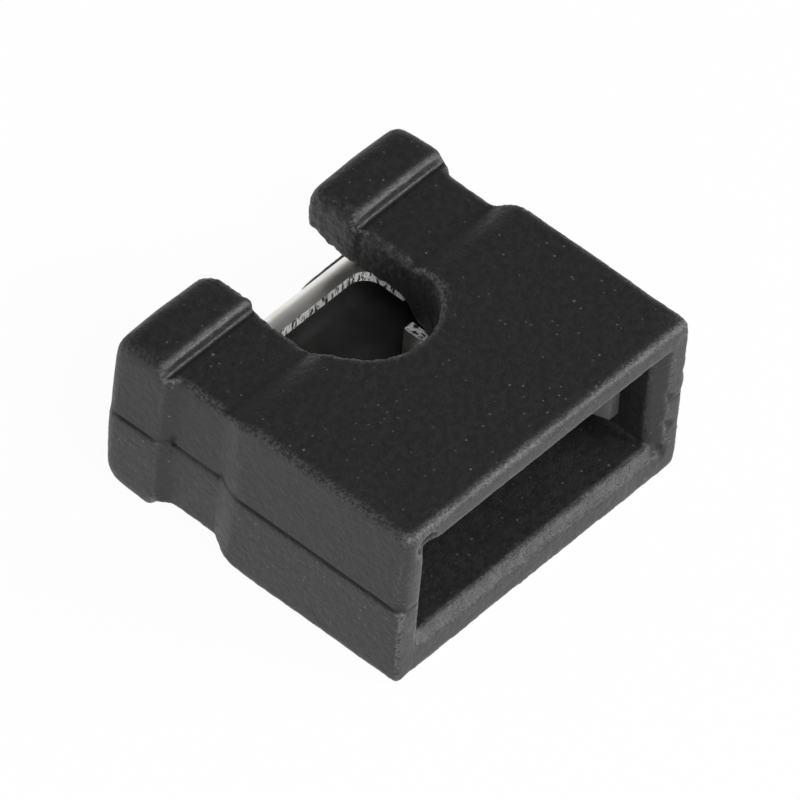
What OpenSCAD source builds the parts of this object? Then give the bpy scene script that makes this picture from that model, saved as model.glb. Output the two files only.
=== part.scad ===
// Open-top jumper shunt for two square pins: a moulded housing round one formed contact.
// X runs along the row of pins, Y from the pin entry towards the two horn tips, Z up through
// the thickness. The origin is in the middle of the footprint, on the resting face. The shapes
// are drawn with Y = 0 at the pin entry, and from_entry() moves them into that frame.

/* [Housing] */
// Width of the housing, along the row of pins
body_w = 5.0; // [4.6:0.05:5.6]
// Length of the housing, from the pin entry to the horn tips
housing_l = 4.65; // [4.5:0.05:5.6]
// Thickness of the housing
body_t = 2.5; // [2.3:0.05:3.0]
// Length of the full-size body, from the pin entry to the shoulder
body_l = 2.64; // [2.6:0.02:2.8]
// Radius of the body's long edges and of its edges at the pin entry
body_edge_r = 0.1; // [0.06:0.01:0.14]
// Radius of the upright corners at the pin entry
corner_r = 0.07; // [0.06:0.01:0.2]
// Radius of the worn upright corner on the -X side, in the upper half of the mould
worn_corner_r = 0.18; // [0.06:0.01:0.2]
// Draft of each side face, from the parting line to the broad face
side_draft = 0.03; // [0:0.01:0.06]

/* [Neck and heads] */
// Length of the sloping shoulder between the body and the neck
shoulder_l = 0.28; // [0.12:0.02:0.3]
// Length of each head, at the horn tips
head_l = 0.8; // [0.65:0.05:0.9]
// Radius where the body rolls over into the shoulder
shoulder_r = 0.8; // [0.15:0.05:0.8]
// Inset of the neck from each side face
neck_side_inset = 0.12; // [0.08:0.01:0.14]
// Reach of each head into the notch, past the neck
head_reach = 0.05; // [0:0.01:0.08]
// Length of the slope from the neck out to the sides of the head
head_slope_l = 0.16; // [0.05:0.01:0.2]
// Inset of the neck from each broad face
neck_face_inset = 0.18; // [0.12:0.01:0.2]
// Inset of the head from each broad face
head_face_inset = 0.02; // [0:0.01:0.06]
// Edge radius of the neck
neck_edge_r = 0.09; // [0.05:0.01:0.12]
// Radius of the heads' long edges
head_edge_r = 0.14; // [0.06:0.01:0.16]
// Radius of the heads' edges at the tips, where they meet the broad faces
tip_face_r = 0.28; // [0.1:0.01:0.3]
// Radius of the heads' upright corners at the tips
tip_side_r = 0.18; // [0.1:0.01:0.3]
// Length of the steep step from the groove up to the head
head_step_l = 0.02; // [0.01:0.01:0.05]
// Width of the groove between neck and head
groove_w = 0.08; // [0.05:0.01:0.12]
// Depth of that groove below the neck
groove_d = 0.035; // [0.02:0.005:0.05]

/* [Test notch] */
// Width of the notch between the horns
notch_w = 1.82; // [1.6:0.02:1.9]
// Wall left between the notch bottom and the pin entry
notch_floor_y = 2.02; // [1.95:0.01:2.1]
// Radius on the rim of the notch bottom
notch_edge_r = 0.06; // [0.03:0.01:0.08]

/* [Pin entry and cavity] */
// Thickness of the upper broad wall at the pin entry rim
rim_top_wall = 0.31; // [0.28:0.01:0.4]
// Thickness of the lower broad wall at the pin entry rim
rim_bottom_wall = 0.42; // [0.3:0.01:0.46]
// Lead-in slope of the broad walls, deep and wide
face_lead = 0.13; // [0.06:0.01:0.16]
// Lead-in slope of the side walls, deep and wide
side_lead = 0.18; // [0.1:0.01:0.2]
// Depth of the tall front pocket
pocket_l = 1.45; // [1.2:0.05:1.55]
// Gap between the outer leaves and the side walls of the pocket
pocket_side_gap = 0.18; // [0.1:0.01:0.2]
// Length of the slope from the pocket down to the contact slot
slot_taper_l = 0.2; // [0.1:0.02:0.3]
// Widening of the contact slot at the horn tips, on each broad wall
tip_flare = 0.13; // [0.05:0.01:0.18]
// Length of the slope behind the web between the two pins
web_slope_l = 0.3; // [0.2:0.02:0.34]
// Gap between a pin and the web beside it
web_gap = 0.01; // [0:0.005:0.03]

/* [Contact] */
// Pitch of the two pins
pitch = 2.54; // [2.5:0.01:2.54]
// Side of each square pin
pin_size = 0.64; // [0.6:0.01:0.66]
// Gap inside the fold, which holds the ends of the pins
fold_gap = 0.6; // [0.56:0.01:0.64]
// Thickness of the contact's strip
sheet_t = 0.15; // [0.12:0.01:0.16]
// Reach of the contact's shoulders past the outer leaves
shoulder_reach = 0.28; // [0.2:0.01:0.3]
// Length from the pin entry to the middle of the fold
fold_y = 3.73; // [3.7:0.01:3.8]
// Length of the lower sheet in front of the fold
lower_arm_l = 0.93; // [0.8:0.01:0.96]
// Length of the two upper arms in front of the fold
upper_arm_l = 0.62; // [0.5:0.01:0.64]
// Width of the window between the arms
window_w = 2.0; // [1.9:0.02:2.1]
// Corner radius of that window
window_r = 0.27; // [0.15:0.01:0.3]
// Height of the leaves above the floor of their channel
leaf_h = 0.5; // [0.45:0.01:0.5]
// Side gap between a pin and the root of each leaf
root_gap = 0.05; // [0.02:0.01:0.06]
// Radius of the bend between the channel floor and each leaf, on the outer face
leaf_bend_r = 0.22; // [0.17:0.01:0.25]
// Distance each leaf leans in at its nose, past the root
nose_lean = 0.11; // [0.06:0.01:0.14]
// Radius of the bend at the nose of the leaves
nose_r = 0.35; // [0.2:0.05:0.5]
// Radius of the bend at the root of the leaves
root_r = 0.6; // [0.3:0.05:0.8]
// Length from the pin entry to the tips of the two outer leaves
outer_tip_y = 0.45; // [0.4:0.02:0.6]
// Length from the pin entry to the tips of the two inner leaves
inner_tip_y = 0.78; // [0.7:0.02:0.9]
// Length from the tip of a leaf to its nose
nose_l = 0.5; // [0.4:0.02:0.6]
// Distance each tip flares back out from its nose
tip_splay = 0.16; // [0.1:0.01:0.18]
// Length of the part of each channel that has a floor
channel_l = 1.12; // [0.9:0.02:1.2]

/* [Mould marks] */
// Sideways mismatch of the two mould halves
mould_shift = 0.02; // [0:0.01:0.1]
// Width of the groove along the parting line
parting_w = 0.06; // [0.03:0.01:0.08]
// Depth of the groove along the parting line
parting_d = 0.04; // [0.02:0.01:0.05]
// Radius of the dent at one corner of the pin entry
dent_r = 0.15; // [0.1:0.01:0.18]

/* [Hidden] */

// Clearance between the contact and its slot, on each side
slot_clear = 0.01;
// What a cutter reaches past the face that it cuts
over = 1;
// What a joined shape reaches into its neighbour
lap = 0.2;
$fn = 48;

mid_z = body_t / 2;
half_w = body_w / 2;
neck_y = body_l + shoulder_l;
head_y = housing_l - head_l;
notch_r = notch_w / 2;
notch_centre_y = notch_floor_y + notch_r;

fold_r = fold_gap / 2 + sheet_t;
lower_arm_y = fold_y - lower_arm_l;
upper_arm_y = fold_y - upper_arm_l;
root_inner = pin_size / 2 + root_gap;
root_outer = root_inner + sheet_t;
nose_outer = root_outer - nose_lean;
leaf_end_y = lower_arm_y + sheet_t / 2;
contact_half_w = pitch / 2 + root_outer + shoulder_reach;

slot_bottom = mid_z - fold_r;
slot_top = mid_z + fold_r + slot_clear;
leaf_top = slot_bottom + sheet_t + leaf_h;
slot_half_w = contact_half_w + slot_clear;
front_slot_half_w = pitch / 2 + root_outer + slot_clear;
pocket_half_w = pitch / 2 + max(root_outer, nose_outer + tip_splay) + pocket_side_gap;
entry_half_w = pocket_half_w + side_lead;
slot_y = pocket_l + slot_taper_l;
web_half_w = pitch / 2 - pin_size / 2 - web_gap;
web_z = leaf_top + slot_clear;
web_end_y = upper_arm_y - slot_clear;

// ---------------------------------------------------------------- outlines with round corners

function unit(v) = v / norm(v);

// Points of the arc of radius r that rounds corner p, coming from a and leaving towards b
function corner_arc(a, p, b, r) =
    r <= 0 ? [p] :
    let (
        u = unit(a - p),
        v = unit(b - p),
        half = acos(u * v) / 2,
        centre = p + unit(u + v) * r / sin(half),
        start = p + u * r / tan(half) - centre,
        finish = p + v * r / tan(half) - centre,
        from = atan2(start.y, start.x),
        turn = (atan2(finish.y, finish.x) - from + 540) % 360 - 180,
        steps = ceil(5 + 12 * r)
    )
    [for (i = [0:steps]) centre + r * [cos(from + turn * i / steps), sin(from + turn * i / steps)]];

// A closed outline from corners given as [x, y, radius]
function rounded(corners) =
    let (last = len(corners) - 1, at = [for (c = corners) [c.x, c.y]])
    [for (i = [0:last])
        each corner_arc(at[i == 0 ? last : i - 1], at[i], at[i == last ? 0 : i + 1], corners[i].z)];

// The same corners seen in a mirror, in reverse order, for the other half of an outline
function mirrored(corners) =
    [for (i = [len(corners) - 1:-1:0]) [-corners[i].x, corners[i].y, corners[i].z]];

// Extrudes an outline drawn in Y and Z along X, over a length centred on X = 0
module along_x(length) {
    rotate([90, 0, 90]) linear_extrude(length, center = true) children();
}

// Extrudes an outline drawn in X and Z along Y, from one place to another
module along_y(from, to) {
    translate([0, to, 0]) rotate([90, 0, 0]) linear_extrude(to - from) children();
}

// Moves what is drawn from the pin entry onwards, so that the housing is centred on Y = 0
module from_entry() {
    translate([0, -housing_l / 2, 0]) children();
}

// ---------------------------------------------------------------- housing

// Side view of the housing: body, shoulder, neck, groove and head, above the parting line
function side_corners() = [
    [parting_d, mid_z, 0],
    [0, mid_z + parting_w / 2, 0],
    [0, body_t, body_edge_r],
    [body_l, body_t, shoulder_r],
    [neck_y, body_t - neck_face_inset, neck_edge_r],
    [head_y - groove_w, body_t - neck_face_inset, groove_d / 2],
    [head_y - groove_w / 2, body_t - neck_face_inset - groove_d, 0],
    [head_y, body_t - neck_face_inset, 0],
    [head_y + head_step_l, body_t - head_face_inset, head_edge_r / 2],
    [housing_l, body_t - head_face_inset, tip_face_r],
    [housing_l, mid_z + parting_w / 2, 0],
    [housing_l - parting_d, mid_z, 0]
];

// Plan view of one half of the housing, from the pin entry round the horn to the notch
function plan_corners(entry_r) = [
    [half_w, 0, entry_r],
    [half_w, body_l, shoulder_r],
    [half_w - neck_side_inset, neck_y, neck_edge_r],
    [half_w - neck_side_inset, head_y - head_slope_l, neck_edge_r],
    [half_w, head_y, head_edge_r],
    [half_w, housing_l, tip_side_r],
    [notch_r - head_reach, housing_l, tip_side_r],
    [notch_r - head_reach, head_y, head_edge_r / 2],
    [notch_r, head_y - groove_w, 0],
    [notch_r, notch_centre_y, 0]
];

// Section across X and Z, from side a to side b and inset from the broad faces, with the
// parting groove cut into both sides, draft on side b, and the given draft on side a
module section(a, b, inset, r, a_draft = 0) {
    polygon(rounded([
        [a + a_draft, inset, r],
        [b - side_draft, inset, r],
        [b, mid_z - parting_w / 2, 0],
        [b - parting_d, mid_z, 0],
        [b, mid_z + parting_w / 2, 0],
        [b - side_draft, body_t - inset, r],
        [a + a_draft, body_t - inset, r],
        [a, mid_z + parting_w / 2, 0],
        [a + parting_d, mid_z, 0],
        [a, mid_z - parting_w / 2, 0]
    ]));
}

// The outer form: side view, plan view and sections intersected
module outer_form(left_r) {
    plan = concat(plan_corners(corner_r), mirrored(plan_corners(left_r)));
    intersection() {
        along_x(body_w + over) {
            polygon(rounded(side_corners()));
            translate([0, body_t]) mirror([0, 1]) polygon(rounded(side_corners()));
        }
        linear_extrude(body_t) polygon(rounded(plan));
        union() {
            along_y(-over, notch_centre_y) section(-half_w, half_w, 0, body_edge_r, side_draft);
            for (side = [0, 1]) mirror([side, 0, 0]) {
                along_y(notch_centre_y - notch_r / 2, head_y)
                    section(notch_r, half_w - neck_side_inset, neck_face_inset, neck_edge_r);
                along_y(head_y - head_slope_l, housing_l + over)
                    section(notch_r - head_reach, half_w, head_face_inset, head_edge_r);
            }
        }
    }
}

// The outer form's lower half, or its upper half, moved sideways by its share of the mismatch
module mould_half(upper) {
    translate([(upper ? 1 : -1) * mould_shift / 2, 0, 0]) intersection() {
        outer_form(upper ? worn_corner_r : corner_r);
        translate([-body_w, -over, upper ? mid_z : mid_z - body_t])
            cube([2 * body_w, housing_l + 2 * over, body_t]);
    }
}

// Round bottom of the notch, flared at both broad faces so that its rim is rounded
module notch_bottom() {
    rim = [[notch_r, mid_z, 0], [notch_r, body_t, notch_edge_r], [notch_r + over, body_t, 0],
           [notch_r + over, body_t + over, 0], [0, body_t + over, 0], [0, mid_z, 0]];
    translate([0, notch_centre_y, 0]) {
        rotate_extrude() polygon(rounded(rim));
        translate([0, 0, body_t]) mirror([0, 0, 1]) rotate_extrude() polygon(rounded(rim));
    }
}

// Thicker roof over the middle of the contact, between the two pins
module web() {
    along_x(2 * web_half_w) polygon([
        [slot_y, web_z],
        [web_end_y - web_slope_l, web_z],
        [web_end_y, slot_top],
        [web_end_y, slot_top + lap],
        [slot_y, slot_top + lap]
    ]);
}

// The hollow: pin entry with its lead-in, tall pocket, contact slot and flared tips
module cavity() {
    plan = [
        [entry_half_w + over, -over],
        [entry_half_w, 0],
        [pocket_half_w, side_lead],
        [pocket_half_w, pocket_l],
        [front_slot_half_w, slot_y],
        [front_slot_half_w, lower_arm_y - slot_clear],
        [slot_half_w, lower_arm_y - slot_clear],
        [slot_half_w, housing_l + over]
    ];
    side = [
        [-over, body_t - rim_top_wall + over],
        [0, body_t - rim_top_wall],
        [face_lead, body_t - rim_top_wall - face_lead],
        [pocket_l, body_t - rim_top_wall - face_lead],
        [slot_y, slot_top],
        [head_y, slot_top],
        [housing_l, slot_top + tip_flare],
        [housing_l + over, slot_top + tip_flare],
        [housing_l + over, slot_bottom - tip_flare],
        [housing_l, slot_bottom - tip_flare],
        [head_y, slot_bottom],
        [slot_y, slot_bottom],
        [pocket_l, rim_bottom_wall + face_lead],
        [face_lead, rim_bottom_wall + face_lead],
        [0, rim_bottom_wall],
        [-over, rim_bottom_wall - over]
    ];
    difference() {
        intersection() {
            along_x(body_w + 2 * over) polygon(side);
            linear_extrude(body_t)
                polygon(concat(plan, [for (i = [len(plan) - 1:-1:0]) [-plan[i].x, plan[i].y]]));
        }
        web();
    }
}

module housing() color([0.13, 0.13, 0.14]) from_entry() {
    difference() {
        union() {
            mould_half(false);
            mould_half(true);
        }
        notch_bottom();
        cavity();
        translate([-entry_half_w + dent_r / 2, 0, body_t - rim_top_wall]) sphere(dent_r);
    }
}

// ---------------------------------------------------------------- contact

// Channel under one pin: a floor with a leaf root on each side, as a section across X and Z
module channel_section() {
    half = [
        [root_outer, slot_bottom, leaf_bend_r],
        [root_outer, leaf_top, 0],
        [root_inner, leaf_top, 0],
        [root_inner, slot_bottom + sheet_t, leaf_bend_r - sheet_t]
    ];
    polygon(rounded(concat(half, mirrored(half))));
}

// One leaf in plan: it leans in from its root to a round nose and splays out at its tip
module leaf(tip_y) {
    root_y = leaf_end_y - channel_l;
    outer_face = [
        [root_outer, root_y + lap, 0],
        [root_outer, root_y, root_r],
        [nose_outer, tip_y + nose_l, nose_r],
        [nose_outer + tip_splay, tip_y, 0]
    ];
    inner_face = [for (i = [3:-1:0]) [outer_face[i].x - sheet_t, outer_face[i].y, outer_face[i].z]];
    translate([0, 0, slot_bottom + leaf_bend_r])
        linear_extrude(leaf_top - slot_bottom - leaf_bend_r)
            polygon(rounded(concat(outer_face, inner_face)));
}

// Side view of a round-ended bar of radius r, from one place to the middle of the fold
module bar_outline(r, from) {
    translate([fold_y, mid_z]) circle(r);
    translate([from, mid_z - r]) square([fold_y - from, 2 * r]);
}

// Side view of the folded sheet: floor, fold and the upper arms, which are shorter
module fold_section() {
    difference() {
        bar_outline(fold_r, lower_arm_y);
        bar_outline(fold_gap / 2, lower_arm_y - over);
        translate([lower_arm_y - over, mid_z]) square([upper_arm_y - lower_arm_y + over, fold_r + over]);
    }
}

module contact() color([0.86, 0.83, 0.76]) from_entry() {
    difference() {
        along_x(2 * contact_half_w) fold_section();
        translate([0, 0, mid_z]) linear_extrude(fold_r + over) polygon(rounded([
            [-window_w / 2, upper_arm_y - over, 0],
            [window_w / 2, upper_arm_y - over, 0],
            [window_w / 2, fold_y, window_r],
            [-window_w / 2, fold_y, window_r]
        ]));
    }
    for (side = [0, 1]) mirror([side, 0, 0]) translate([pitch / 2, 0, 0]) {
        along_y(leaf_end_y - channel_l, leaf_end_y) channel_section();
        leaf(outer_tip_y);
        mirror([1, 0, 0]) leaf(inner_tip_y);
    }
}

housing();
contact();
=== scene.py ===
"""Looks of the jumper shunt: a matte black moulded housing round one folded metal contact."""

import math

import bmesh
import bpy
import numpy as np
from mathutils import Matrix, Vector, noise
from mathutils.kdtree import KDTree


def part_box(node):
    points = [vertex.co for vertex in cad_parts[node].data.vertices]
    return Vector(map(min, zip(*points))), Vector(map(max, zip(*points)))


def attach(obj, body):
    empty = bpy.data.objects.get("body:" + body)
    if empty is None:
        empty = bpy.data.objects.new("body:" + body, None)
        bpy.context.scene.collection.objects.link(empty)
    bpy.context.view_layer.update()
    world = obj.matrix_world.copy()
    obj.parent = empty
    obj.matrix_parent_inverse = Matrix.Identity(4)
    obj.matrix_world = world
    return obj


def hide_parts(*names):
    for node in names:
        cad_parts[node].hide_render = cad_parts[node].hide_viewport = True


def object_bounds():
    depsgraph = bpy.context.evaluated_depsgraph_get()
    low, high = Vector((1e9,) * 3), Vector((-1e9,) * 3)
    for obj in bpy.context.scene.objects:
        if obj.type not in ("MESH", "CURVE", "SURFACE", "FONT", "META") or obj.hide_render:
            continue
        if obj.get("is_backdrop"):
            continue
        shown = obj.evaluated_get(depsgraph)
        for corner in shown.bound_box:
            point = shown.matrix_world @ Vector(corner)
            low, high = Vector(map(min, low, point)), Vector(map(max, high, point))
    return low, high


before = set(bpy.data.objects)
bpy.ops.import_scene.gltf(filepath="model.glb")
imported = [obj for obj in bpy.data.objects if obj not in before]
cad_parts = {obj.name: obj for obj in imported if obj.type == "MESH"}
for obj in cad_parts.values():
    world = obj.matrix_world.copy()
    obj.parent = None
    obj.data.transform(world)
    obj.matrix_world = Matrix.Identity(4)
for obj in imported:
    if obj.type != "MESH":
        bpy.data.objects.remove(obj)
CAD_LOW, CAD_HIGH = (Vector(corner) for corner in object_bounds())
MM = 0.001

# ---------------------------------------------------------------- view, floor and light

VIEW_AZIMUTH = -52.26  # degrees round from the pin entry, towards -X
VIEW_ELEVATION = 47.64  # degrees above the floor
VIEW_ROLL = 5.35  # degrees that the camera is tilted about its own axis
VIEW_DISTANCE = 246.3 * MM
VIEW_WIDTH = 9.336 * MM  # what the picture spans at the aim
AIM_OFFSET = Vector((0.020, -0.057, 0.0)) * MM  # from the middle of the part
SENSOR = 36.0
FLOOR_SIZE = 0.6
FLOOR_COLOUR = (0.9, 0.9, 0.9, 1)
FLOOR_GLOW = 0.96  # keeps the floor white and leaves a faint shadow
WHITE = (1, 1, 1, 1)
HORIZON_STRENGTH = 0.3
ZENITH_STRENGTH = 0.12
SKY_RANGE = (0.15, 0.75)  # heights between which the sky darkens
LIGHT_DISTANCE = 0.35
# Soft boxes: name, azimuth, elevation, size in m, power in W
LIGHTS = [("soft_front_left", -50, 22, 0.22, 0.2),
          ("soft_front_right", 40, 18, 0.2, 1.1),
          ("high_front", -25, 52, 0.25, 0.9)]


def direction(azimuth, elevation):
    """Unit vector from the part, by an azimuth from -Y towards -X's side and an elevation."""
    az, el = math.radians(azimuth), math.radians(elevation)
    return Vector((math.sin(az) * math.cos(el), -math.cos(az) * math.cos(el), math.sin(el)))


def make_camera():
    back = direction(VIEW_AZIMUTH, VIEW_ELEVATION)
    right = Vector((0, 0, 1)).cross(back).normalized()
    right = Matrix.Rotation(math.radians(VIEW_ROLL), 3, back) @ right
    turn = Matrix((right, back.cross(right), back)).transposed().to_4x4()
    data = bpy.data.cameras.new("camera")
    data.sensor_width = SENSOR
    data.lens = SENSOR * VIEW_DISTANCE / VIEW_WIDTH
    data.clip_start = VIEW_DISTANCE / 10
    camera = bpy.data.objects.new("camera", data)
    aim = (CAD_LOW + CAD_HIGH) / 2 + AIM_OFFSET
    camera.matrix_world = Matrix.Translation(aim + back * VIEW_DISTANCE) @ turn
    bpy.context.scene.collection.objects.link(camera)
    bpy.context.scene.camera = camera


def add_area_light(name, azimuth, elevation, size, power):
    """A square soft box that faces the part."""
    towards = direction(azimuth, elevation)
    data = bpy.data.lights.new(name, "AREA")
    data.shape = "SQUARE"
    data.size = size
    data.energy = power
    light = bpy.data.objects.new(name, data)
    light.location = towards * LIGHT_DISTANCE
    light.rotation_euler = towards.to_track_quat("Z", "Y").to_euler()
    bpy.context.scene.collection.objects.link(light)


class Nodes:
    """Short forms for building a material's node tree."""

    def __init__(self, tree):
        self.tree = tree
        tree.nodes.clear()

    def add(self, kind, **settings):
        node = self.tree.nodes.new(kind)
        for name, value in settings.items():
            setattr(node, name, value)
        return node

    def link(self, source, target):
        self.tree.links.new(source, target)

    def feed(self, socket, value):
        """Sets a socket to a number, or links it to another node's output."""
        if isinstance(value, bpy.types.NodeSocket):
            self.link(value, socket)
        else:
            socket.default_value = value

    def math(self, operation, a, b=0.0, c=0.0):
        node = self.add("ShaderNodeMath", operation=operation)
        for socket, value in zip(node.inputs, (a, b, c)):
            self.feed(socket, value)
        return node.outputs[0]

    def ramp(self, value, low, high, start=0.0, end=1.0):
        """Smooth step of a value from low to high, as start to end."""
        node = self.add("ShaderNodeMapRange", interpolation_type="SMOOTHSTEP")
        for socket, number in zip(node.inputs, (value, low, high, start, end)):
            self.feed(socket, number)
        return node.outputs[0]

    def noise(self, size, detail=2.0, roughness=0.5, stretch=(1, 1, 1), shift=0.0):
        """Noise whose features are about size metres across, in the part's own frame."""
        place = self.add("ShaderNodeTexCoord").outputs["Object"]
        mapping = self.add("ShaderNodeMapping")
        mapping.inputs["Scale"].default_value = stretch
        mapping.inputs["Location"].default_value = (shift, shift, shift)
        self.link(place, mapping.inputs["Vector"])
        node = self.add("ShaderNodeTexNoise")
        node.inputs["Scale"].default_value = 1 / size
        node.inputs["Detail"].default_value = detail
        node.inputs["Roughness"].default_value = roughness
        self.link(mapping.outputs[0], node.inputs["Vector"])
        return node.outputs["Fac"]

    def mix(self, factor, a, b):
        node = self.add("ShaderNodeMix", data_type="RGBA")
        self.feed(node.inputs[0], factor)
        self.feed(node.inputs[6], a)
        self.feed(node.inputs[7], b)
        return node.outputs[2]

    def bump(self, height, distance, strength=1.0, normal=None):
        node = self.add("ShaderNodeBump")
        node.inputs["Distance"].default_value = distance
        node.inputs["Strength"].default_value = strength
        self.link(height, node.inputs["Height"])
        if normal is not None:
            self.link(normal, node.inputs["Normal"])
        return node.outputs[0]

    def surface(self, shader, kind="ShaderNodeOutputMaterial"):
        self.link(shader.outputs[0], self.add(kind).inputs["Surface"])


def new_material(name):
    material = bpy.data.materials.new(name)
    material.use_nodes = True
    return material, Nodes(material.node_tree)


def camera_glow_share(nodes, share):
    """How much of a surface glows to the camera and in reflections."""
    path = nodes.add("ShaderNodeLightPath").outputs
    seen = nodes.math("MAXIMUM", path["Is Camera Ray"], path["Is Transmission Ray"])
    seen = nodes.math("MAXIMUM", seen, path["Is Glossy Ray"])
    return nodes.math("MULTIPLY", seen, share)


def make_floor():
    bpy.ops.mesh.primitive_plane_add(size=FLOOR_SIZE)
    floor = bpy.context.active_object
    floor.name = "floor"
    material, nodes = new_material("white_floor")
    mix = nodes.add("ShaderNodeMixShader")
    diffuse = nodes.add("ShaderNodeBsdfDiffuse")
    diffuse.inputs["Color"].default_value = FLOOR_COLOUR
    glow = nodes.add("ShaderNodeEmission")
    glow.inputs["Color"].default_value = WHITE
    nodes.link(camera_glow_share(nodes, FLOOR_GLOW), mix.inputs[0])
    nodes.link(diffuse.outputs[0], mix.inputs[1])
    nodes.link(glow.outputs[0], mix.inputs[2])
    nodes.surface(mix)
    floor.data.materials.append(material)
    floor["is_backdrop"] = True


def make_world():
    world = bpy.data.worlds.new("studio")
    bpy.context.scene.world = world
    world.use_nodes = True
    nodes = Nodes(world.node_tree)
    background = nodes.add("ShaderNodeBackground")
    background.inputs["Color"].default_value = WHITE
    place = nodes.add("ShaderNodeTexCoord").outputs["Generated"]
    height = nodes.add("ShaderNodeSeparateXYZ")
    nodes.link(place, height.inputs[0])
    shade = nodes.ramp(height.outputs[2], *SKY_RANGE, HORIZON_STRENGTH, ZENITH_STRENGTH)
    nodes.link(shade, background.inputs["Strength"])
    nodes.surface(background, "ShaderNodeOutputWorld")


make_camera()
make_floor()
make_world()
for light_settings in LIGHTS:
    add_area_light(*light_settings)

# ---------------------------------------------------------------- housing

# Places and sizes on the housing, in mm
PARTING_Z = (CAD_LOW.z + CAD_HIGH.z) / 2 / MM
ENTRY_Y = CAD_LOW.y / MM
RIGHT_X = CAD_HIGH.x / MM
TOP_Z = CAD_HIGH.z / MM
NOTCH_HALF = 0.9
NOTCH_FLOOR_Y = ENTRY_Y + 2.02
NOTCH_MARGIN = 0.12  # past the notch's sides
NOTCH_FLOOR_MARGIN = 0.1
BUMP_HALF = NOTCH_HALF - 0.05  # inner-wall bumps that reach in past this
BUMP_END_Y = ENTRY_Y + 4.22  # are drawn back to this
HEAD_STEP_Y = CAD_HIGH.y / MM - 0.82
LOWER_RIM_Z = 0.45
CORNER_REACH = 0.6  # from a tip's corner
RIM_REACH = 0.15
HEAD_STEP_REACH = 0.2
NEAR_TOP = 0.15
NEAR_PARTING = 0.15
WELD = 0.0002
VOXEL = 0.022
TRIANGLES = 190000
# Rounds of smoothing, for the mesh, the tips' corners and the outer edges
MESH_ROUNDS = 3
CORNER_ROUNDS = 200
EDGE_ROUNDS = 60
# How far smoothing moves an edge, in mm, when it counts as worn and painted with a highlight, as a
# groove painted with shade, or as rounded
WEAR_AND_HIGHLIGHT_BEND = 0.016
GROOVE_SHADE_BEND = 0.012
ROUNDED_BEND = 0.015
HEAD_STEP_WEAR_AND_HIGHLIGHT = 0.35
LOWER_RIM_ROUGHNESS = 1.8
NOTCH_ROUGHNESS = 1.2
# Unevenness of the surface: features per mm and depths in mm
SLOW, QUICK, FINE = 1.6, 8.0, 20.0
SLOW_DEPTH = 0.006
QUICK_DEPTH = 0.010
FINE_DEPTH = 0.006
GRAIN_DEPTH = 0.0015
# Dents and chips round the pin entry, in mm: centre, radius, depth
DENTS = [((-2.06, ENTRY_Y, 2.20), 0.17, 0.07),
         ((2.12, ENTRY_Y, 0.44), 0.16, 0.07),
         ((2.0, ENTRY_Y + 0.05, 0.36), 0.10, 0.04),
         ((2.2, ENTRY_Y, 1.35), 0.10, 0.05),
         ((2.22, ENTRY_Y, 0.86), 0.12, 0.05),
         ((2.5, ENTRY_Y, 1.62), 0.12, 0.03)]


def mesh_in_mm(node):
    """A welded copy of a CAD node's mesh, in millimetres."""
    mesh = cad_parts[node].data.copy()
    mesh.transform(Matrix.Scale(1 / MM, 4))
    work = bmesh.new()
    work.from_mesh(mesh)
    bmesh.ops.remove_doubles(work, verts=work.verts, dist=WELD)
    work.to_mesh(mesh)
    work.free()
    return mesh


def apply_modifiers(piece):
    evaluated = piece.evaluated_get(bpy.context.evaluated_depsgraph_get())
    done = bpy.data.meshes.new_from_object(evaluated)
    piece.modifiers.clear()
    piece.data = done


def add_smooth(piece, rounds):
    smooth = piece.modifiers.new("smooth", "SMOOTH")
    smooth.factor = 0.5
    smooth.iterations = rounds
    return smooth


def fine_mesh(piece):
    """Rebuilds a piece from even, small faces and softens its sharpest edges."""
    remesh = piece.modifiers.new("even", "REMESH")
    remesh.mode = "VOXEL"
    remesh.voxel_size = VOXEL
    add_smooth(piece, MESH_ROUNDS)
    apply_modifiers(piece)


def reduce_faces(piece):
    have = sum(len(face.vertices) - 2 for face in piece.data.polygons)
    if have > TRIANGLES:
        fewer = piece.modifiers.new("fewer", "DECIMATE")
        fewer.ratio = TRIANGLES / have
        apply_modifiers(piece)


def coordinates(mesh, attribute="co"):
    values = np.empty(len(mesh.vertices) * 3)
    mesh.vertices.foreach_get(attribute, values)
    return values.reshape(-1, 3)


def smoothed_points(piece):
    """Where the points of a piece would go if it were smoothed; the piece stays as it is."""
    add_smooth(piece, EDGE_ROUNDS)
    evaluated = piece.evaluated_get(bpy.context.evaluated_depsgraph_get())
    points = coordinates(evaluated.data)
    piece.modifiers.clear()
    return points


def share_near(points, centre, radius):
    """1 at the centre, falling smoothly to 0 at the radius."""
    distance = np.sqrt(((points - np.array(centre)) ** 2).sum(axis=1))
    return np.clip(1 - (distance / radius) ** 2, 0, 1) ** 2


def rough_surface(points, edges):
    """How far each point of the housing moves along its normal, in mm: wear and unevenness."""
    between_walls = np.abs(points[:, 0]) < NOTCH_HALF + NOTCH_MARGIN
    in_notch = between_walls & (points[:, 1] > NOTCH_FLOOR_Y - NOTCH_FLOOR_MARGIN)
    lower_rim = (points[:, 1] < ENTRY_Y + RIM_REACH) & (points[:, 2] < LOWER_RIM_Z)
    rough = edges * np.where(lower_rim, LOWER_RIM_ROUGHNESS, 1.0)
    rough += np.where(in_notch, NOTCH_ROUGHNESS, 0.0)
    move = np.zeros(len(points))
    for index, (point, share) in enumerate(zip(points, rough)):
        place = Vector(point)
        slow, quick, fine = (noise.noise(place * scale) for scale in (SLOW, QUICK, FINE))
        torn = share * (QUICK_DEPTH * quick + FINE_DEPTH * fine)
        move[index] = SLOW_DEPTH * slow + torn + GRAIN_DEPTH * fine
    for centre, radius, depth in DENTS:
        move -= depth * share_near(points, centre, radius)
    return move


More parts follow.
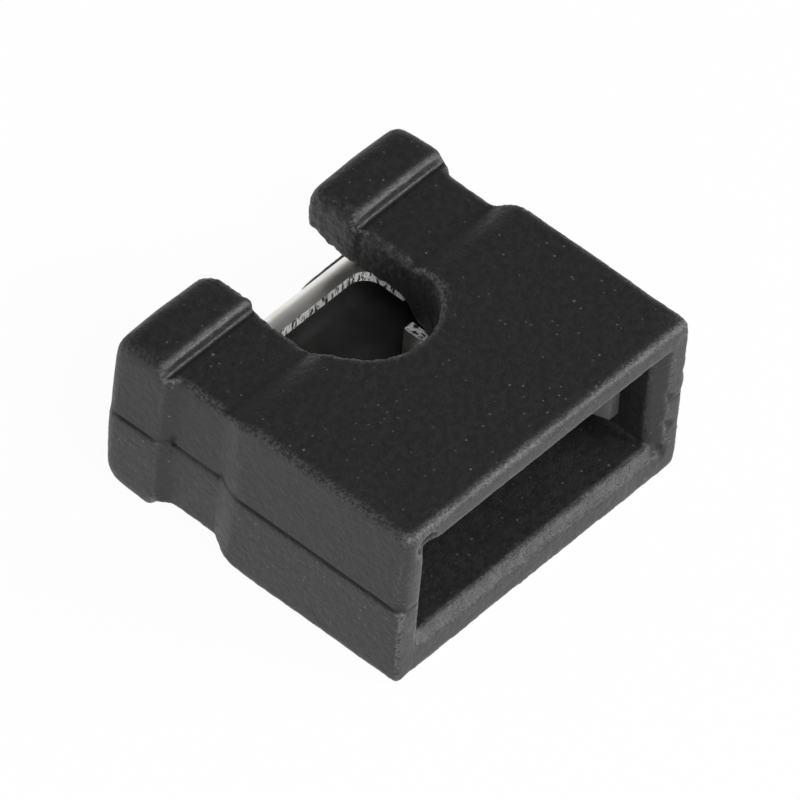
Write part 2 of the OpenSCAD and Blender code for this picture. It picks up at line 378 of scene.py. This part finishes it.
def soften_corners(piece):
    """Rounds the corners of the horn tips."""
    weights = tip_corner_share(coordinates(piece.data))
    group = piece.vertex_groups.new(name="soft")
    for index in np.nonzero(weights > 0.05)[0]:
        group.add([int(index)], float(weights[index]), "REPLACE")
    add_smooth(piece, CORNER_ROUNDS).vertex_group = "soft"
    apply_modifiers(piece)
    piece.vertex_groups.clear()


def tip_corner_share(points):
    """1 at the corners of the horn tips, falling to 0 a little way off."""
    out = np.abs(points[:, 0])
    side = np.minimum(np.abs(out - RIGHT_X), np.abs(out - NOTCH_HALF))
    tip = CAD_HIGH.y / MM - points[:, 1]
    face = np.minimum(points[:, 2], TOP_Z - points[:, 2])
    return np.clip(1.5 - np.sqrt(side**2 + tip**2 + face**2) / CORNER_REACH, 0, 1)


def round_and_roughen(piece):
    """Rounds the outer edges and roughens them; returns each point with its share of wear and
    painted highlight, and its share of painted shade in the groove.
    """
    points, normals = coordinates(piece.data), coordinates(piece.data, "normal")
    soft = smoothed_points(piece)
    bend = ((soft - points) * normals).sum(axis=1)
    # Pale colour on convex edges: partly real wear, partly a painted highlight of rounded edges
    # catching the light
    wear_and_highlight = np.clip(-bend / WEAR_AND_HIGHLIGHT_BEND - 0.2, 0, 1)
    near_step = np.abs(points[:, 1] - HEAD_STEP_Y) < HEAD_STEP_REACH
    head_step = (points[:, 2] > TOP_Z - NEAR_TOP) & near_step & (normals[:, 2] > 0.5)
    # Less wear and painted highlight on the top near the head's step
    wear_and_highlight = np.where(head_step, HEAD_STEP_WEAR_AND_HIGHLIGHT * wear_and_highlight, wear_and_highlight)
    near_parting = np.abs(points[:, 2] - PARTING_Z) < NEAR_PARTING
    # Painted shade: concave places near the parting line get a dark colour and less reflection, as
    # shade in the groove
    groove_shade = np.where(near_parting, np.clip(bend / GROOVE_SHADE_BEND - 0.1, 0, 1), 0)
    points += (soft - points) * np.clip(-bend / ROUNDED_BEND, 0, 1)[:, None]
    points += normals * rough_surface(points, wear_and_highlight)[:, None]
    bumps = (np.abs(points[:, 0]) < BUMP_HALF) & (points[:, 1] > BUMP_END_Y)
    points[bumps, 1] = BUMP_END_Y
    points = np.clip(points, np.array(CAD_LOW) / MM, np.array(CAD_HIGH) / MM)
    piece.data.vertices.foreach_set("co", points.ravel())
    piece.data.update()
    return points, wear_and_highlight, groove_shade


def store_nearest(mesh, points, shares):
    """Gives each vertex of a mesh the shares of the nearest of the points, as attributes."""
    tree = KDTree(len(points))
    for index, point in enumerate(points):
        tree.insert(point, index)
    tree.balance()
    nearest = [tree.find(vertex.co)[1] for vertex in mesh.vertices]
    for name, values in shares.items():
        attribute = mesh.attributes.new(name, "FLOAT", "POINT")
        attribute.data.foreach_set("value", values[nearest])


def make_housing():
    piece = bpy.data.objects.new("housing_shell", mesh_in_mm("housing"))
    bpy.context.scene.collection.objects.link(piece)
    fine_mesh(piece)
    soften_corners(piece)
    points, wear_and_highlight, groove_shade = round_and_roughen(piece)
    reduce_faces(piece)
    mesh = piece.data
    store_nearest(mesh, points, {"wear_and_highlight": wear_and_highlight, "groove_shade": groove_shade})
    mesh.transform(Matrix.Scale(MM, 4))
    mesh.polygons.foreach_set("use_smooth", [True] * len(mesh.polygons))
    mesh.materials.clear()
    mesh.materials.append(plastic())
    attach(piece, "root")
    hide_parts("housing")


BLACK = (0.0085, 0.0083, 0.0095, 1)
BLACK_PALER = (0.0115, 0.0112, 0.0125, 1)
# Pale edge colour: real rubbing and a painted highlight
RUBBED_AND_HIGHLIGHT = (0.13, 0.127, 0.127, 1)
# Painted shade colour for the groove along the parting line
PAINTED_GROOVE_SHADE = (0.004, 0.004, 0.004, 1)
GRAIN = 0.035 * MM
COARSE = 0.10 * MM
RUB_AND_HIGHLIGHT_PATCH = 0.5 * MM
# Two sets of pale specks, painted glints of the grain: spacing, radius, share of the cells that
# hold one, shift
GLINT_SPECKS = [(0.10 * MM, 0.020 * MM, 0.5, 0.0), (0.25 * MM, 0.028 * MM, 0.5, 0.01)]
GLINT_SPECK_STRENGTH = 0.8
ROUGHNESS = (0.45, 0.53)
SPECULAR = (0.5, 0.1)  # clean, in the groove with painted shade
SHEEN = 0.06
SHEEN_ROUGHNESS = 0.4
GRAIN_BUMP = (0.008 * MM, 0.9)  # depth, strength
COARSE_BUMP = (0.015 * MM, 0.7)


def dots(nodes, spacing, radius, share, shift):
    """Small round specks: a share of scattered cells each hold one."""
    place = nodes.add("ShaderNodeTexCoord").outputs["Object"]
    cells = nodes.add("ShaderNodeTexVoronoi")
    cells.inputs["Scale"].default_value = 1 / spacing
    offset = nodes.add("ShaderNodeVectorMath", operation="ADD")
    offset.inputs[1].default_value = (shift, shift, shift)
    nodes.link(place, offset.inputs[0])
    nodes.link(offset.outputs[0], cells.inputs["Vector"])
    pick = nodes.add("ShaderNodeSeparateColor")
    nodes.link(cells.outputs["Color"], pick.inputs[0])
    chosen = nodes.ramp(pick.outputs[0], 1 - share, 1.0)
    near = nodes.ramp(cells.outputs["Distance"], radius / spacing, 0.3 * radius / spacing)
    return nodes.math("MULTIPLY", chosen, near)


def plastic():
    material, nodes = new_material("matte_black_plastic")
    shader = nodes.add("ShaderNodeBsdfPrincipled")
    grain = nodes.noise(GRAIN, detail=2, roughness=0.7)
    coarse = nodes.noise(COARSE, detail=2)
    # Painted glints: pale specks in the base colour stand in for glints off the grain
    glint_specks = nodes.math("MAXIMUM", *(dots(nodes, *settings) for settings in GLINT_SPECKS))
    wear_and_highlight = nodes.add("ShaderNodeAttribute", attribute_name="wear_and_highlight").outputs["Fac"]
    groove_shade = nodes.add("ShaderNodeAttribute", attribute_name="groove_shade").outputs["Fac"]
    # Pale edges: real rubbing together with a painted highlight
    rub_and_highlight = nodes.math("MULTIPLY", wear_and_highlight, nodes.ramp(grain, 0.42, 0.60, 0.15, 1.0))
    patches = nodes.ramp(nodes.noise(RUB_AND_HIGHLIGHT_PATCH, shift=7.7), 0.3, 0.6, 0.4, 1.0)
    rub_and_highlight = nodes.math("MULTIPLY", rub_and_highlight, patches)
    pale = nodes.math("MAXIMUM", nodes.math("MULTIPLY", glint_specks, GLINT_SPECK_STRENGTH), rub_and_highlight)
    body = nodes.mix(nodes.ramp(coarse, 0.35, 0.65), BLACK, BLACK_PALER)
    clean = nodes.mix(pale, body, RUBBED_AND_HIGHLIGHT)
    # Painted shade darkens the parting groove's colour and lowers its reflection
    nodes.feed(shader.inputs["Base Color"], nodes.mix(groove_shade, clean, PAINTED_GROOVE_SHADE))
    nodes.feed(shader.inputs["Specular IOR Level"], nodes.ramp(groove_shade, 0.0, 1.0, *SPECULAR))
    nodes.feed(shader.inputs["Roughness"], nodes.ramp(coarse, 0.3, 0.7, *ROUGHNESS))
    shader.inputs["Sheen Weight"].default_value = SHEEN
    shader.inputs["Sheen Roughness"].default_value = SHEEN_ROUGHNESS
    fine = nodes.bump(grain, *GRAIN_BUMP)
    both = nodes.bump(coarse, *COARSE_BUMP, fine)
    nodes.feed(shader.inputs["Normal"], both)
    nodes.surface(shader)
    return material


# ---------------------------------------------------------------- contact

BRIGHT_METAL = (0.9, 0.89, 0.86, 1)
WARM_METAL = (0.80, 0.77, 0.70, 1)
TORN_METAL = (0.99, 0.985, 0.97, 1)
TORN_PIT = (0.03, 0.028, 0.025, 1)
STAIN = 0.3 * MM
STAIN_BUMP = (0.003 * MM, 0.3)
STREAK = 0.05 * MM
STREAK_STRETCH = (1, 0.6, 0.25)
STREAK_BUMP = (0.035 * MM, 1.0)
TORN_ROUGHNESS = 0.35
TORN_METALLIC = 0.15
BRIGHT_ROUGHNESS = 0.33
PAINTED_SHADE_ROUGHNESS = 0.35
PAINTED_SHADE_METALLIC = 0.5
# Painted shade: a dark copy of the plating for the contact's floor, the inside of its fold and the
# leaf tips
PAINTED_SHADE_GREY = (0.045, 0.045, 0.048, 1)
PAINTED_SHADE_WARM = (0.06, 0.058, 0.056, 1)


def metal(name, colours, roughness, metallic=1.0):
    """Plating with two tones in soft patches."""
    material, nodes = new_material(name)
    shader = nodes.add("ShaderNodeBsdfPrincipled")
    stain = nodes.noise(STAIN, detail=3)
    colour = nodes.mix(nodes.ramp(stain, 0.4, 0.65), *colours)
    nodes.feed(shader.inputs["Base Color"], colour)
    shader.inputs["Metallic"].default_value = metallic
    shader.inputs["Roughness"].default_value = roughness
    nodes.feed(shader.inputs["Normal"], nodes.bump(stain, *STAIN_BUMP))
    nodes.surface(shader)
    return material


def sheared_metal():
    """The cut edges of the sheet: bright, torn into short streaks with dark pits."""
    material, nodes = new_material("sheared_metal")
    shader = nodes.add("ShaderNodeBsdfPrincipled")
    streaks = nodes.noise(STREAK, detail=3, roughness=0.7, stretch=STREAK_STRETCH)
    pits = nodes.ramp(streaks, 0.43, 0.50)
    nodes.feed(shader.inputs["Base Color"], nodes.mix(pits, TORN_PIT, TORN_METAL))
    shader.inputs["Metallic"].default_value = TORN_METALLIC
    shader.inputs["Roughness"].default_value = TORN_ROUGHNESS
    nodes.feed(shader.inputs["Normal"], nodes.bump(streaks, *STREAK_BUMP))
    nodes.surface(shader)
    return material


# Sizes of the contact in mm, as in its solid
STRIP_LOW, STRIP_HIGH = (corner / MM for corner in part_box("contact"))
SHEET = 0.15
FOLD_R = (STRIP_HIGH.z - STRIP_LOW.z) / 2
FOLD_Y = STRIP_HIGH.y - FOLD_R
FOLD_Z = (STRIP_HIGH.z + STRIP_LOW.z) / 2
LOWER_ARM = 0.93
UPPER_ARM = 0.62
WINDOW_HALF = 1.0
WINDOW_R = 0.27
PITCH = 2.54
ROOT_INNER = 0.37
ROOT_OUTER = ROOT_INNER + SHEET
LEAF_END_Y = FOLD_Y - LOWER_ARM + SHEET / 2
CHANNEL_L = 1.12
LEAF_TOP = STRIP_LOW.z + 0.65
BEND_R = 0.22
# A leaf's outer face: how far in it leans, with its y from the root and then from the tip
LEAF_FROM_ROOT = [(0.0, 0.1), (0.0, -0.1), (0.03, -0.3)]
LEAF_FROM_TIP = [(0.09, 0.62), (0.1, 0.5), (0.09, 0.38), (-0.05, 0.0)]
OUTER_TIP_Y = ENTRY_Y + 0.45
INNER_TIP_Y = ENTRY_Y + 0.78
FOLD_STEPS = 64
CORNER_STEPS = 16
BEND_STEPS = 12
TOUCH = 0.01
LARGE_FACE = 0.05
EDGE_ROUND = 0.012
BRIGHT, SHEARED, PAINTED_SHADE = 0, 1, 2  # the contact's material slots


def arc(centre, radius, start, end, steps):
    """Points of an arc, with angles in degrees."""
    angles = [math.radians(start + (end - start) * i / steps) for i in range(steps + 1)]
    return [(centre[0] + radius * math.cos(a), centre[1] + radius * math.sin(a)) for a in angles]


def prism(outline, to_point, low, high):
    """A closed solid from an outline; to_point turns (u, v, depth) into a place."""
    work = bmesh.new()
    ends = [[work.verts.new(to_point(u, v, depth)) for u, v in outline] for depth in (low, high)]
    work.faces.new(ends[0])
    work.faces.new(reversed(ends[1]))
    count = len(outline)
    for i in range(count):
        k = (i + 1) % count
        work.faces.new((ends[0][i], ends[1][i], ends[1][k], ends[0][k]))
    bmesh.ops.recalc_face_normals(work, faces=work.faces)
    mesh = bpy.data.meshes.new("prism")
    work.to_mesh(mesh)
    work.free()
    part = bpy.data.objects.new("prism", mesh)
    bpy.context.scene.collection.objects.link(part)
    return part


def combine(piece, part, operation):
    """Joins a part to a piece or cuts it out, and removes the part."""
    cut = piece.modifiers.new("combine", "BOOLEAN")
    cut.operation = operation
    cut.solver = "EXACT"
    cut.object = part
    bpy.context.view_layer.update()
    apply_modifiers(piece)
    bpy.data.objects.remove(part)


def side_place(y, z, x):
    return (x, y, z)


def plan_place(x, y, z):
    return (x, y, z)


def end_place(x, z, y):
    return (x, y, z)


def folded_strip():
    """The floor, the fold and the upper arms, with the window between the arms."""
    inner = FOLD_R - SHEET
    centre = (FOLD_Y, FOLD_Z)
    outline = [(FOLD_Y - LOWER_ARM, FOLD_Z - inner), (FOLD_Y - LOWER_ARM, FOLD_Z - FOLD_R)]
    outline += arc(centre, FOLD_R, -90, 90, FOLD_STEPS)
    outline += [(FOLD_Y - UPPER_ARM, FOLD_Z + FOLD_R), (FOLD_Y - UPPER_ARM, FOLD_Z + inner)]
    outline += arc(centre, inner, 90, -90, FOLD_STEPS)
    strip = prism(outline, side_place, STRIP_LOW.x, STRIP_HIGH.x)
    near = FOLD_Y - UPPER_ARM - SHEET
    flat = WINDOW_HALF - WINDOW_R
    window = [(-WINDOW_HALF, near), (WINDOW_HALF, near)]
    window += arc((flat, FOLD_Y - WINDOW_R), WINDOW_R, 0, 90, CORNER_STEPS)
    window += arc((-flat, FOLD_Y - WINDOW_R), WINDOW_R, 90, 180, CORNER_STEPS)
    combine(strip, prism(window, plan_place, FOLD_Z, FOLD_Z + 2 * FOLD_R), "DIFFERENCE")
    return strip


def channel(side):
    """The channel under one pin, with the roots of its two leaves."""
    bend_centre = (ROOT_OUTER - BEND_R, STRIP_LOW.z + BEND_R)
    half = arc(bend_centre, BEND_R, -90, 0, BEND_STEPS)
    half += [(ROOT_OUTER, LEAF_TOP), (ROOT_INNER, LEAF_TOP)]
    half += arc(bend_centre, BEND_R - SHEET, 0, -90, BEND_STEPS)
    outline = half + [(-x, z) for x, z in reversed(half)]
    outline = [(side * PITCH / 2 + x, z) for x, z in outline]
    return prism(outline, end_place, LEAF_END_Y - CHANNEL_L, LEAF_END_Y)


def leaf(side, outwards, tip_y):
    """One spring leaf: it leans in to a nose and splays out at its tip."""
    root_y = LEAF_END_Y - CHANNEL_L
    path = [(ROOT_OUTER - lean, root_y + y) for lean, y in LEAF_FROM_ROOT]
    path += [(ROOT_OUTER - lean, tip_y + y) for lean, y in LEAF_FROM_TIP]
    back = [(x - SHEET, y) for x, y in reversed(path)]
    outline = [(side * PITCH / 2 + outwards * x, y) for x, y in path + back]
    return prism(outline, plan_place, STRIP_LOW.z + BEND_R, LEAF_TOP)


def is_sheared(face):
    """Whether a face of the contact is a cut through the sheet that can be seen."""
    centre, normal = face.calc_center_median(), face.normal
    leaf_top = abs(centre.z - LEAF_TOP) < TOUCH and normal.z > 0.9
    in_roof = centre.z > FOLD_Z + FOLD_R - SHEET - TOUCH
    return leaf_top or (in_roof and abs(normal.z) < 0.2 and centre.y < FOLD_Y + TOUCH)


def is_painted_shade(face):
    """Whether a face lies on the floor, in the fold or at a leaf's tip, which get painted shade: a
    dark copy of the plating.
    """
    centre, normal = face.calc_center_median(), face.normal
    turned_in = (centre.y - FOLD_Y) * normal.y + (centre.z - FOLD_Z) * normal.z < -0.1
    low = centre.z < FOLD_Z + 0.05
    floor = low and normal.z > 0.9
    fold = low and turned_in and centre.y > FOLD_Y - TOUCH
    tip = normal.y < -0.7 and centre.y < LEAF_END_Y - CHANNEL_L
    return floor or fold or tip


def finish_strip(piece):
    """Marks cut faces, faces with painted shade and creases, then rounds every sharp edge a little.
    """
    work = bmesh.new()
    work.from_mesh(piece.data)
    for face in work.faces:
        face.smooth = True
        face.material_index = BRIGHT
        if is_sheared(face):
            face.material_index = SHEARED
        elif is_painted_shade(face):
            face.material_index = PAINTED_SHADE
    for edge in work.edges:
        large = any(face.calc_area() > LARGE_FACE for face in edge.link_faces)
        edge.smooth = not large and edge.calc_face_angle(0) < math.radians(20)
    work.to_mesh(piece.data)
    work.free()
    bevel = piece.modifiers.new("round_edges", "BEVEL")
    bevel.width = EDGE_ROUND
    bevel.segments = 2
    bevel.limit_method = "ANGLE"
    bevel.angle_limit = math.radians(50)
    apply_modifiers(piece)


def make_contact():
    piece = folded_strip()
    piece.name = "contact_strip"
    for side in (-1, 1):
        combine(piece, channel(side), "UNION")
        combine(piece, leaf(side, side, OUTER_TIP_Y), "UNION")
        combine(piece, leaf(side, -side, INNER_TIP_Y), "UNION")
    piece.data.materials.clear()
    bright = metal("bright_metal", (BRIGHT_METAL, WARM_METAL), BRIGHT_ROUGHNESS)
    # Painted shade: the dark copy of the plating goes on the floor, the fold's inside and the leaf
    # tips
    painted_shade = metal("painted_shade_metal", (PAINTED_SHADE_GREY, PAINTED_SHADE_WARM), PAINTED_SHADE_ROUGHNESS, PAINTED_SHADE_METALLIC)
    for material in (bright, sheared_metal(), painted_shade):
        piece.data.materials.append(material)
    finish_strip(piece)
    piece.data.transform(Matrix.Scale(MM, 4))
    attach(piece, "root")
    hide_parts("contact")


make_housing()
make_contact()

scene = bpy.context.scene
scene.view_settings.view_transform = "Standard"
